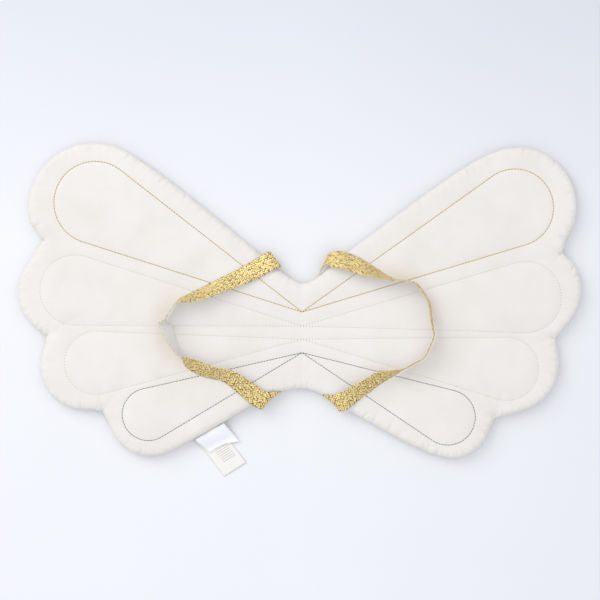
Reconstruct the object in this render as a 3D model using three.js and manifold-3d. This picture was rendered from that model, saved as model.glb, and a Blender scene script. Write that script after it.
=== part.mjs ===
// Padded, quilted dress-up wings for a child, lying flat with the strap side up.
// Millimetres. X runs across the wings, Y towards their top edge, Z up out of the strap side.
// The centre line between the wings is X = 0 and the back cover's outer face is Z = 0.
// In the tables below, "out" is the distance from the centre line, on either wing.

import * as THREE from 'three';
import { mergeVertices } from 'three/addons/utils/BufferGeometryUtils.js';
import Module from 'manifold-3d';

const wasm = await Module();
wasm.setup();

// Driving dimensions
const THICKNESS = 14;          // padded thickness of the wings
const COVER = 1.5;             // cotton cover with its fused backing, as a rigid shell
const GAP = 0.3;               // clearance between neighbouring pieces
const SEAM_OPENING = 1.8;      // between the covers' turned-in edges, for what is sewn in there
const SEAM_ALLOWANCE = 6;      // width of the turned-in edges
const EDGE_ROUNDING = 10;      // how far in from the edge the padding reaches its full thickness
const CAVITY_ROUNDING = 12;    // the same for the hollow that the wadding fills
const EDGE_PROFILE = [[0.5, 1], [0.82, 4], [1, EDGE_ROUNDING]]; // share of half the thickness, inset
const HALF_FOLD = 1.5;         // each wing stops this far from the centre line
const THREAD_WIDTH = 1;
const THREAD_THICKNESS = 0.5;
const THREAD_RECESS = 0.1;     // a thread lies this far below the cover's face
const SEAM_THREAD_INSET = 3.1;
const SEAM_THREAD_SIZE = 1.2;
const TIP_OUT = 9;             // each quilted teardrop starts this far from the centre line
const STRAP_WIDTH = 20;
const STRAP_THICKNESS = 1.2;
const TAB_OUT = { top: 30, bottom: 33 }; // how far out the middle of each sewn strap end lies
const TAB_LENGTH = 17;         // along the seam
const TAB_DEPTH = 1.6;         // into the seam
const TAB_REACH = 2.2;         // from the edge to where the elastic turns up
const LABEL_THICKNESS = 0.45;
const LABEL_CLEARANCE = 0.6;   // between the edge and the labels' visible part
const LABEL_SLOPE = { start: 2, end: 11, flat: 13, ease: 0.3 }; // from the edge down to the table

// Fineness of the mesh, and how far a cutting solid runs past the face that it opens
const ARC_STEP = Math.PI / 15;
const EDGE_CURVE_STEPS = 4;
const SHOULDER_STEPS = 5;
const TEARDROP_STEPS = 14;
const STRAP_STEPS = 30;
const DIRECTION_STEP = 0.01;
const CUT_PAST = 0.2;
const MITRE_LIMIT = 1.3;

const MIDDLE = THICKNESS / 2;
const NOTCH_TOP = 29;          // height of the outline on the centre line, above and below
const NOTCH_BOTTOM = -83;

// Lobes from top to bottom: centre, radius, and the angles in degrees where the round part starts
// and ends. Notches lie between them. A shoulder is the corner that the straight edge rounds off
// into the first or last lobe, "edge" is where that straight ends near the centre line, and
// "pull" is the control point of the curve from there to the centre line.
const outlines = {
  left: {
    lobes: [
      { out: 223.4, y: 109.4, r: 71.0, from: 112, to: -11 },
      { out: 256.7, y: 20.4, r: 48.5, from: 43, to: -48 },
      { out: 235.1, y: -59.8, r: 46.0, from: 26, to: -95 },
      { out: 163.1, y: -111.2, r: 45.0, from: -12, to: -112 },
    ],
    notches: [[278.4, 76.3], [274.1, -26.9], [214.5, -107.8]],
    top: { shoulder: [168, 165], edge: [22, 41.7], pull: [9, 31] },
    bottom: { shoulder: [121.8, -142.2], edge: [40, -93], pull: [20, -83.5] },
  },
  right: {
    lobes: [
      { out: 231.8, y: 112.8, r: 63.2, from: 117, to: -36 },
      { out: 247.1, y: 22.7, r: 53.0, from: 35, to: -46 },
      { out: 223.4, y: -56.4, r: 52.7, from: 13, to: -74 },
      { out: 162.4, y: -118.6, r: 39.6, from: -10, to: -112 },
    ],
    notches: [[279.5, 62.4], [272.0, -29.0], [207.5, -115.0]],
    top: { shoulder: [176, 161.5], edge: [28, 46.7], pull: [14, 29.5] },
    bottom: { shoulder: [131, -155], edge: [30, -94.5], pull: [14, -83.5] },
  },
};

// Quilted teardrops: the height of the tip on the centre line, and the round end on each wing.
const quilting = {
  ochre: { tip: -1.1, color: 0xc9962f, left: [221.5, 116.1, 44.1], right: [227.9, 110.7, 41.4] },
  pink: { tip: -16.1, color: 0xeccdb8, left: [243.0, 22.6, 37.6], right: [239.7, 15.1, 38.2] },
  cream: { tip: -30.1, color: 0xe8dcb8, left: [220.4, -55.4, 33.9], right: [219.3, -61.8, 33.9] },
  teal: { tip: -44.6, color: 0x5c7373, left: [164.5, -110.7, 28.0], right: [155.9, -113.9, 29.6] },
};

// Arm straps as they lie, from the top seam round to the bottom seam. Each row is one crossing of
// the elastic: [out, y, z] of its lower edge, then [out, y] of its higher edge. The higher edge's
// z follows from the elastic's width.
const straps = {
  left: [
    [34.4, 64.0, 15.4, 22.0, 47.6],
    [55.9, 52.1, 15.4, 46.2, 35.5],
    [93.5, 31.7, 15.6, 84.9, 20.4],
    [122.6, 18.3, 15.6, 120.4, 9.7],
    [139.2, 7.5, 15.6, 140.3, 7.5],
    [138.7, -15.1, 15.6, 151.0, -11.8],
    [135.5, -32.0, 15.6, 144.5, -29.0],
    [129.0, -49.5, 15.6, 128.5, -48.4],
    [112.9, -66.1, 15.6, 108.6, -54.3],
    [82.8, -74.2, 16.0, 78.5, -61.3],
    [55.9, -96.8, 16.0, 49.5, -78.5],
    [43.0, -105.4, 16.0, 38.7, -85.9],
    [25.8, -97.5, 15.4, 20.6, -80.8],
  ],
  right: [
    [35.0, 63.4, 15.4, 21.5, 43.0],
    [46.2, 63.4, 18.0, 41.9, 46.2],
    [66.7, 55.4, 18.0, 61.3, 38.7],
    [88.2, 40.3, 16.0, 80.6, 33.3],
    [103.2, 32.2, 15.6, 98.9, 30.1],
    [122.6, 29.6, 15.6, 122.6, 28.6],
    [136.5, 9.7, 15.6, 135.5, 8.6],
    [141.9, -20.4, 15.6, 140.8, -20.4],
    [131.2, -45.7, 15.6, 134.4, -44.1],
    [108.6, -61.8, 15.6, 108.6, -59.1],
    [82.8, -78.5, 15.6, 78.5, -66.1],
    [60.2, -92.5, 16.0, 52.7, -79.5],
    [41.9, -107.5, 16.0, 34.0, -90.0],
    [28.0, -99.0, 15.4, 20.6, -86.0],
  ],
};

// Labels in the lower left seam: the middle of the seam there, and their outward direction.
const LABEL_PLACE = [-101.6, -129.9];
const LABEL_HEADING = THREE.MathUtils.degToRad(-59.7);
const labels = {
  brand_label: { width: 36, length: 27, start: 7.375, drop: 6.1, shift: 2.5, color: 0xfbfbfd },
  care_label: { width: 30, length: 52, start: 6.625, drop: 6.25, shift: 2.5, color: 0xf4f0e6 },
};

const sides = { left: -1, right: 1 };
const fabricColor = 0xf1eee9;
const cotton = () => new THREE.MeshStandardMaterial({ color: fabricColor, roughness: 0.95 });
const thread = (color) => new THREE.MeshStandardMaterial({ color, roughness: 0.8 });
const glitter = () => new THREE.MeshStandardMaterial({ color: 0xc9a94a, roughness: 0.45, metalness: 0.6 });

// ---- closed meshes and solids ----

function geometryOf(positions, triangles) {
  const geometry = new THREE.BufferGeometry();
  geometry.setAttribute('position', new THREE.Float32BufferAttribute(positions, 3));
  geometry.setIndex(triangles);
  return geometry;
}

function solidOf(geometry) {
  const bare = geometry.clone();
  bare.deleteAttribute('normal');
  bare.deleteAttribute('uv');
  const merged = mergeVertices(bare, 1e-4);
  return new wasm.Manifold(new wasm.Mesh({
    numProp: 3,
    vertProperties: new Float32Array(merged.attributes.position.array),
    triVerts: new Uint32Array(merged.index.array),
  }));
}

function geometryFromSolid(solid) {
  const mesh = solid.getMesh();
  return geometryOf(mesh.vertProperties, Array.from(mesh.triVerts));
}

const flat = (points) => points.map(([x, y]) => new THREE.Vector2(x, y));

// A closed body through rings of equal length, from the lowest to the highest, with flat ends.
function loft(rings) {
  const clockwise = THREE.ShapeUtils.isClockWise(flat(rings[0]));
  const ordered = clockwise ? rings.map((points) => [...points].reverse()) : rings;
  const count = ordered[0].length;
  const triangles = [];
  for (let level = 0; level + 1 < ordered.length; level += 1) {
    for (let i = 0; i < count; i += 1) {
      const a = level * count + i;
      const b = level * count + ((i + 1) % count);
      triangles.push(a, b, b + count, a, b + count, a + count);
    }
  }
  const caps = THREE.ShapeUtils.triangulateShape(flat(ordered[0]), []);
  const top = (ordered.length - 1) * count;
  for (const [a, b, c] of caps) {
    triangles.push(a, c, b, top + a, top + b, top + c);
  }
  return geometryOf(ordered.flat(2), triangles);
}

// ---- the wings' outline ----

function addCurve(samples, curve, steps) {
  for (let i = 1; i < steps; i += 1) {
    const point = curve.getPoint(i / steps);
    samples.push([point.x, point.y]);
  }
}

function addLobe(samples, lobe) {
  const from = THREE.MathUtils.degToRad(lobe.from);
  const to = THREE.MathUtils.degToRad(lobe.to);
  const steps = Math.round((from - to) / ARC_STEP);
  for (let i = 0; i <= steps; i += 1) {
    const angle = from + ((to - from) * i) / steps;
    samples.push([lobe.out + lobe.r * Math.cos(angle), lobe.y + lobe.r * Math.sin(angle)]);
  }
}

// The outline of one wing as points [out, y], clockwise from the centre line's top.
function outlinePoints({ lobes, notches, top, bottom }) {
  const v = (point) => new THREE.Vector2(...point);
  const bend = (from, pull, to) => new THREE.QuadraticBezierCurve(v(from), v(pull), v(to));
  const samples = [[HALF_FOLD, NOTCH_TOP]];
  addCurve(samples, bend(samples[0], top.pull, top.edge), EDGE_CURVE_STEPS);
  samples.push(top.edge);
  const first = lobes[0];
  const start = THREE.MathUtils.degToRad(first.from);
  const startPoint = [first.out + first.r * Math.cos(start), first.y + first.r * Math.sin(start)];
  addCurve(samples, bend(top.edge, top.shoulder, startPoint), SHOULDER_STEPS);
  lobes.forEach((lobe, i) => {
    addLobe(samples, lobe);
    if (i < notches.length) {
      samples.push(notches[i]);
    }
  });
  addCurve(samples, bend(samples.at(-1), bottom.shoulder, bottom.edge), EDGE_CURVE_STEPS);
  samples.push(bottom.edge);
  const end = [HALF_FOLD, NOTCH_BOTTOM];
  addCurve(samples, bend(bottom.edge, bottom.pull, end), EDGE_CURVE_STEPS);
  samples.push(end);
  return samples;
}

// The outline moved inwards by "inset". The ends stay on the cut beside the centre line.
function insetOutline(samples, inset) {
  return samples.map(([out, y], i) => {
    if (i === 0) {
      return [out, y - inset];
    }
    if (i === samples.length - 1) {
      return [out, y + inset];
    }
    const before = new THREE.Vector2(out - samples[i - 1][0], y - samples[i - 1][1]).normalize();
    const after = new THREE.Vector2(samples[i + 1][0] - out, samples[i + 1][1] - y).normalize();
    const along = before.clone().add(after).normalize();
    const mitre = Math.min(MITRE_LIMIT, 1 / along.dot(before));
    return [out + along.y * inset * mitre, y - along.x * inset * mitre];
  });
}

// The edge seam's point at a distance out, above or below the wings' middle, and the outward
// direction there.
function seamAt(side, end, out) {
  const samples = outlinePoints(outlines[side]);
  const walk = end === 'top' ? samples : samples.reverse();
  const next = walk.findIndex(([sampleOut]) => sampleOut > out);
  const [a, b] = [walk[next - 1], walk[next]];
  const y = a[1] + ((b[1] - a[1]) * (out - a[0])) / (b[0] - a[0]);
  const turn = end === 'top' ? 1 : -1;
  const normal = new THREE.Vector2(-turn * (b[1] - a[1]) * sides[side], turn * (b[0] - a[0])).normalize();
  return { point: [sides[side] * out, y], normal };
}

function ring(side, inset, z, cut = HALF_FOLD) {
  const samples = insetOutline(outlinePoints(outlines[side]), inset);
  samples[0] = [cut, samples[0][1]];
  samples[samples.length - 1] = [cut, samples.at(-1)[1]];
  return samples.map(([out, y]) => [sides[side] * out, y, z]);
}

// Turns a height above the middle of the thickness into z, for the front or the back cover.
const facing = { front: (h) => MIDDLE + h, back: (h) => MIDDLE - h };

function coverLevels(face) {
  const rounded = EDGE_PROFILE.map(([share, inset]) => [MIDDLE * share, inset]);
  return [[SEAM_OPENING / 2, 0], ...rounded].map(([h, inset]) => [facing[face](h), inset]);
}

function cavityLevels(face) {
  const levels = [
    [SEAM_OPENING / 2 - CUT_PAST, SEAM_ALLOWANCE],
    [SEAM_OPENING / 2, SEAM_ALLOWANCE],
    [MIDDLE - COVER, CAVITY_ROUNDING],
  ];
  return levels.map(([h, inset]) => [facing[face](h), inset]);
}

function shellSolid(side, levels, cut) {
  const rings = levels.map(([z, inset]) => ring(side, inset, z, cut));
  return solidOf(loft(rings[0][0][2] < rings.at(-1)[0][2] ? rings : rings.reverse()));
}

// ---- quilting threads and their grooves ----

// A teardrop whose sides lie "grow" outside the stitched line.
function teardrop(side, colour, grow) {
  const [out, y, r] = quilting[colour][side];
  const tip = new THREE.Vector2(TIP_OUT, quilting[colour].tip);
  const centre = new THREE.Vector2(out, y);
  const span = centre.distanceTo(tip);
  const axis = tip.clone().sub(centre).divideScalar(span);
  const radius = r + grow;
  const apex = centre.clone().addScaledVector(axis, (span * radius) / r);
  const half = Math.PI - Math.acos(r / span);
  const heading = Math.atan2(-axis.y, -axis.x);
  const points = [apex];
  for (let i = 0; i <= TEARDROP_STEPS; i += 1) {
    const angle = heading - half + (2 * half * i) / TEARDROP_STEPS;
    points.push(new THREE.Vector2(out + radius * Math.cos(angle), y + radius * Math.sin(angle)));
  }
  const placed = points.map((point) => new THREE.Vector2(point.x * sides[side], point.y));
  return THREE.ShapeUtils.isClockWise(placed) ? placed.reverse() : placed;
}

function teardropBand(side, colour, halfWidth, low, high) {
  const shape = new THREE.Shape(teardrop(side, colour, halfWidth));
  shape.holes.push(new THREE.Path(teardrop(side, colour, -halfWidth)));
  const band = new THREE.ExtrudeGeometry(shape, { depth: high - low, bevelEnabled: false, steps: 1 });
  return band.translate(0, 0, low);
}

function threadLevels(face) {
  const outer = facing[face](MIDDLE - THREAD_RECESS);
  const inner = facing[face](MIDDLE - THREAD_RECESS - THREAD_THICKNESS);
  return [Math.min(outer, inner), Math.max(outer, inner)];
}

function grooveLevels(face) {
  const outer = facing[face](MIDDLE + CUT_PAST);
  const floor = facing[face](MIDDLE - THREAD_RECESS - THREAD_THICKNESS - GAP);
  return [Math.min(outer, floor), Math.max(outer, floor)];
}

// ---- pieces ----

const group = new THREE.Group();

function addPiece(name, geometry, material) {
  const mesh = new THREE.Mesh(geometry, material);
  mesh.name = name;
  group.add(mesh);
}

function addCover(side, face) {
  let cover = shellSolid(side, coverLevels(face)).subtract(shellSolid(side, cavityLevels(face), -HALF_FOLD));
  for (const colour of Object.keys(quilting)) {
    const groove = teardropBand(side, colour, THREAD_WIDTH / 2 + GAP, ...grooveLevels(face));
    cover = cover.subtract(solidOf(groove));
  }
  addPiece(`${face}_cover_${side}`, geometryFromSolid(cover), cotton());
}

function addWadding(side) {
  const wide = SEAM_ALLOWANCE + 2 * GAP;
  const narrow = CAVITY_ROUNDING + 2 * GAP;
  const levels = [
    [COVER + GAP, narrow],
    [MIDDLE - SEAM_OPENING / 2, wide],
    [MIDDLE + SEAM_OPENING / 2, wide],
    [THICKNESS - COVER - GAP, narrow],
  ];
  const rings = levels.map(([z, inset]) => ring(side, inset, z));
  addPiece(`wadding_${side}`, loft(rings), new THREE.MeshStandardMaterial({ color: 0xfafafa, roughness: 1 }));
}

function addQuilting(side, face, colour) {
  const band = teardropBand(side, colour, THREAD_WIDTH / 2, ...threadLevels(face));
  addPiece(`${colour}_thread_${face}_${side}`, band, thread(quilting[colour].color));
}

// The edge seam's thread: a line that follows the outline from the top of the centre line to its
// bottom, inside the seam allowance.
function addSeamThread(side) {
  const inner = insetOutline(outlinePoints(outlines[side]), SEAM_THREAD_INSET + SEAM_THREAD_SIZE / 2);
  const outer = insetOutline(outlinePoints(outlines[side]), SEAM_THREAD_INSET - SEAM_THREAD_SIZE / 2);
  const path = [...outer, ...inner.reverse()].map(([out, y]) => [sides[side] * out, y]);
  const low = MIDDLE - SEAM_THREAD_SIZE / 2;
  const high = MIDDLE + SEAM_THREAD_SIZE / 2;
  const rings = [low, high].map((z) => path.map(([x, y]) => [x, y, z]));
  addPiece(`seam_thread_${side}`, loft(rings), thread(0xf4f2ee));
}

// A strap's sewn end: flat in the seam, then turned up outside the edge to meet the loop.
function addTab(side, end) {
  const { point, normal } = seamAt(side, end, TAB_OUT[end]);
  const half = STRAP_THICKNESS / 2;
  const profile = new THREE.Shape();
  profile.moveTo(-TAB_DEPTH, MIDDLE - half);
  profile.lineTo(TAB_REACH + STRAP_THICKNESS, MIDDLE - half);
  profile.lineTo(TAB_REACH + STRAP_THICKNESS, THICKNESS);
  profile.lineTo(TAB_REACH, THICKNESS);
  profile.lineTo(TAB_REACH, MIDDLE + half);
  profile.lineTo(-TAB_DEPTH, MIDDLE + half);
  const tab = new THREE.ExtrudeGeometry(profile, { depth: TAB_LENGTH, bevelEnabled: false, steps: 1 });
  tab.translate(0, 0, -TAB_LENGTH / 2).rotateX(Math.PI / 2).rotateZ(normal.angle()).translate(...point, 0);
  addPiece(`strap_${side}_${end}_end`, tab, glitter());
}

// The free loop of a strap: a band of even width and thickness between its two edges.
function addStrapLoop(side) {
  const low = [];
  const high = [];
  for (const [out, y, z, highOut, highY] of straps[side]) {
    const across = Math.hypot(highOut - out, highY - y);
    const rise = Math.sqrt(Math.max(0, STRAP_WIDTH ** 2 - across ** 2));
    low.push(new THREE.Vector3(sides[side] * out, y, z));
    high.push(new THREE.Vector3(sides[side] * highOut, highY, z + rise));
  }
  const lowEdge = new THREE.CatmullRomCurve3(low, false, 'centripetal');
  const highEdge = new THREE.CatmullRomCurve3(high, false, 'centripetal');
  const middleAt = (t) => lowEdge.getPoint(t).add(highEdge.getPoint(t)).multiplyScalar(0.5);
  const positions = [];
  for (let i = 0; i <= STRAP_STEPS; i += 1) {
    const t = i / STRAP_STEPS;
    const a = lowEdge.getPoint(t);
    const b = highEdge.getPoint(t);
    const before = middleAt(Math.max(0, t - DIRECTION_STEP));
    const forward = middleAt(Math.min(1, t + DIRECTION_STEP)).sub(before);
    const face = new THREE.Vector3().crossVectors(forward, b.clone().sub(a)).normalize();
    const offset = face.multiplyScalar(STRAP_THICKNESS / 2);
    const outer = [a.clone().add(offset), b.clone().add(offset)];
    const inner = [b.clone().sub(offset), a.clone().sub(offset)];
    for (const corner of [...outer, ...inner]) {
      positions.push(...corner.toArray());
    }
  }
  const triangles = [];
  for (let i = 0; i < STRAP_STEPS; i += 1) {
    for (let corner = 0; corner < 4; corner += 1) {
      const a = i * 4 + corner;
      const b = i * 4 + ((corner + 1) % 4);
      triangles.push(a, a + 4, b + 4, a, b + 4, b);
    }
  }
  const last = STRAP_STEPS * 4;
  triangles.push(0, 1, 2, 0, 2, 3, last, last + 2, last + 1, last, last + 3, last + 2);
  addPiece(`strap_${side}_loop`, geometryOf(positions, triangles), glitter());
}

// A label as a bent strip: level at the seam, down a slope to the table, then flat.
function addLabel(name) {
  const { width, length, start, drop, shift, color } = labels[name];
  const half = LABEL_THICKNESS / 2;
  const end = start - drop;
  const line = [
    [LABEL_CLEARANCE, start],
    [LABEL_SLOPE.start, start - LABEL_SLOPE.ease],
    [LABEL_SLOPE.end, end + LABEL_SLOPE.ease],
    [LABEL_SLOPE.flat, end],
    [length, end],
  ];
  const upper = line.map(([s, z]) => new THREE.Vector2(s, z + half));
  const lower = line.map(([s, z]) => new THREE.Vector2(s, z - half)).reverse();
  const profile = new THREE.Shape([...upper, ...lower]);
  const strip = new THREE.ExtrudeGeometry(profile, { depth: width, bevelEnabled: false, steps: 1 });
  strip.translate(0, 0, -width / 2).rotateX(Math.PI / 2).translate(0, shift, 0);
  strip.rotateZ(LABEL_HEADING).translate(...LABEL_PLACE, 0);
  addPiece(name, strip, new THREE.MeshStandardMaterial({ color, roughness: 0.9 }));
}

for (const side of Object.keys(sides)) {
  for (const face of Object.keys(facing)) {
    addCover(side, face);
    for (const colour of Object.keys(quilting)) {
      addQuilting(side, face, colour);
    }
  }
  addWadding(side);
  addSeamThread(side);
  addStrapLoop(side);
  addTab(side, 'top');
  addTab(side, 'bottom');
}
Object.keys(labels).forEach(addLabel);

export default group;
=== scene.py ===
import math

import bpy
import numpy as np
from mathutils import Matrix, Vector, geometry, kdtree


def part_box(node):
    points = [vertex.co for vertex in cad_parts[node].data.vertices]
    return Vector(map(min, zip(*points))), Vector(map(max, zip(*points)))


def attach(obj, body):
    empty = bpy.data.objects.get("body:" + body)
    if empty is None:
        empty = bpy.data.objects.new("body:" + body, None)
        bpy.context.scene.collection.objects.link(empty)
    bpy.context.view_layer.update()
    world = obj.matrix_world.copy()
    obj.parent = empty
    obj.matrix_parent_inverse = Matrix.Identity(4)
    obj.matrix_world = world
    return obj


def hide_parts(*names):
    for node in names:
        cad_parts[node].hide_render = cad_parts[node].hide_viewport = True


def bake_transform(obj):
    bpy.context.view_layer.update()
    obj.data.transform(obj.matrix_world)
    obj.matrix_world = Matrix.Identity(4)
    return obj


# Padded, quilted dress-up wings for a child, seen from straight above with the strap side up.
# Lengths are in millimetres until a mesh is made. X runs across the wings, Y towards their top
# edge, Z up, and the centre line between the wings is X = 0. In the tables, "out" is the distance
# from the centre line, on either wing.

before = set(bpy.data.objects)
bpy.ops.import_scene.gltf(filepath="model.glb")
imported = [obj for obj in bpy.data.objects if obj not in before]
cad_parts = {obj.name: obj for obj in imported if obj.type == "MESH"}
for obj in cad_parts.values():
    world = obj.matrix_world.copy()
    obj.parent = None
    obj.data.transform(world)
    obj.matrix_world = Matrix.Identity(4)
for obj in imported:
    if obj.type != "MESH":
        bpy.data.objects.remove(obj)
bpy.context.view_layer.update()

MM = 0.001
SIDES = {"left": -1, "right": 1}

# Driving dimensions of the padding
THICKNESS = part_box("front_cover_left")[1].z / MM
MIDDLE = THICKNESS / 2            # height of the edge seam
CLOTH = 0.45                      # thickness of the cotton
HEM = 6.0                         # width of the turned-in edges
HEM_LIFT = 0.15                   # of a hem's face above the seam's middle
SEAM_LIP = 0.9                    # half the seam's groove at the very edge
EDGE_WAVE = 0.35                  # of the sewn edge, from side to side
FRONT_ROUNDING = 7.0              # width of the front cover's rounded edge
BACK_ROUNDING = 9.0
FRONT_SINK = 0.6                  # of the front cover at the sewn lines
BACK_SINK = 0.9
HOLLOWS = 0.2                     # depth of the front cover's wide hollows
PUCKER_DEPTH = 0.12               # beside the sewn lines
GATHER_DEPTH = 1.5                # of the front cover's waves beside the seam
GATHER_REACH = 6.0
RIGHT_PULL = 0.55                 # how much deeper the right wing's creases are
RIGHT_FADE = 60.0                 # from the centre line to where that is all there
CREASE_FLOOR = 1.6                # the least height over the seam that creases leave
WADDING_FRONT_GAP = 1.2           # from the wadding to the front cover and the hems
WADDING_BACK_GAP = 1.0

# The front cover's cloth simulation
PUFF_STEPS = 13
PUFF_PRESSURE = 6
PUFF_EXCESS = 0.01                # the cloth is cut this much larger than what it covers
PUFF_SMOOTHING = 12               # rounds, so that it leaves fine creases open
PUFF_SHARE = 0.6                  # of the simulated puff that is kept
PUFF_RANGE = (-0.5, 1.4)
PUFF_TOP = 0.8                    # how far the puff may rise over the thickness

# Driving dimensions of the stitching, the straps, the labels and the view
STITCH_PITCH = 3.3
SEAM_PITCH = 2.8
SEAM_INSET = 3.1
SEAM_THREAD = 0.14                # radius of the seam's thread
SEAM_SHOWN = 0.82                 # share of the seam's row that shows thread
STRAP_WIDTH = 20.0
STRAP_THICKNESS = 0.9
FRILL_HEIGHT = 0.25               # of the waves along a strap's woven edges
FRILL_PITCH = 7.3
LABEL_THICKNESS = 0.3
LABEL_LEVEL = 1.0                 # a label leaves the seam level this far,
LABEL_SLOPE = 17.0                # and goes down to the table over this length
FLOOR_DROP = 0.4                  # from Z = 0 to the table top
VIEW_WIDTH = 645.0                # seen by the camera at the height of the seam
VIEW_CENTRE = (-2.15, 11.8)

OUTLINE_STEP = 1.5                # between the outline's points
NOTCH_TOP = 29.0                  # the outline on the centre line
NOTCH_BOTTOM = -83.0
OUTLINES = {
    "left": {
        "lobes": [
            {"out": 223.4, "y": 109.4, "r": 71.0, "from": 112, "to": -11},
            {"out": 256.7, "y": 20.4, "r": 48.5, "from": 43, "to": -48},
            {"out": 235.1, "y": -59.8, "r": 46.0, "from": 26, "to": -95},
            {"out": 163.1, "y": -111.2, "r": 45.0, "from": -12, "to": -112},
        ],
        "notches": [(278.4, 76.3), (274.1, -26.9), (214.5, -107.8)],
        "top": {"shoulder": (168, 165), "edge": (22, 41.7), "pull": (9, 31)},
        "bottom": {"shoulder": (121.8, -142.2), "edge": (40, -93), "pull": (20, -83.5)},
    },
    "right": {
        "lobes": [
            {"out": 231.8, "y": 112.8, "r": 63.2, "from": 117, "to": -36},
            {"out": 247.1, "y": 22.7, "r": 53.0, "from": 35, "to": -46},
            {"out": 223.4, "y": -56.4, "r": 52.7, "from": 13, "to": -74},
            {"out": 162.4, "y": -118.6, "r": 39.6, "from": -10, "to": -112},
        ],
        "notches": [(279.5, 62.4), (272.0, -29.0), (207.5, -115.0)],
        "top": {"shoulder": (176, 161.5), "edge": (28, 46.7), "pull": (14, 29.5)},
        "bottom": {"shoulder": (131, -155), "edge": (30, -94.5), "pull": (14, -83.5)},
    },
}

# Quilted teardrops: height of the tip on the centre line, then [out, y, radius] of the round end.
QUILTING = {
    "ochre": {"tip": -1.1, "left": (221.5, 116.1, 44.1), "right": (227.9, 110.7, 41.4)},
    "pink": {"tip": -16.1, "left": (243.0, 22.6, 37.6), "right": (239.7, 15.1, 38.2)},
    "cream": {"tip": -30.1, "left": (220.4, -55.4, 33.9), "right": (219.3, -61.8, 33.9)},
    "teal": {"tip": -44.6, "left": (164.5, -110.7, 28.0), "right": (155.9, -113.9, 29.6)},
}

# Each quilting thread's colour, its radius and the share of its row that shows thread
THREADS = {
    "ochre": ((0.54, 0.33, 0.003), 0.46, 0.92),
    "pink": ((0.42, 0.3, 0.25), 0.38, 0.24),
    "cream": ((0.44, 0.4, 0.27), 0.38, 0.26),
    "teal": ((0.03, 0.09, 0.085), 0.37, 0.92),
}

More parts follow.
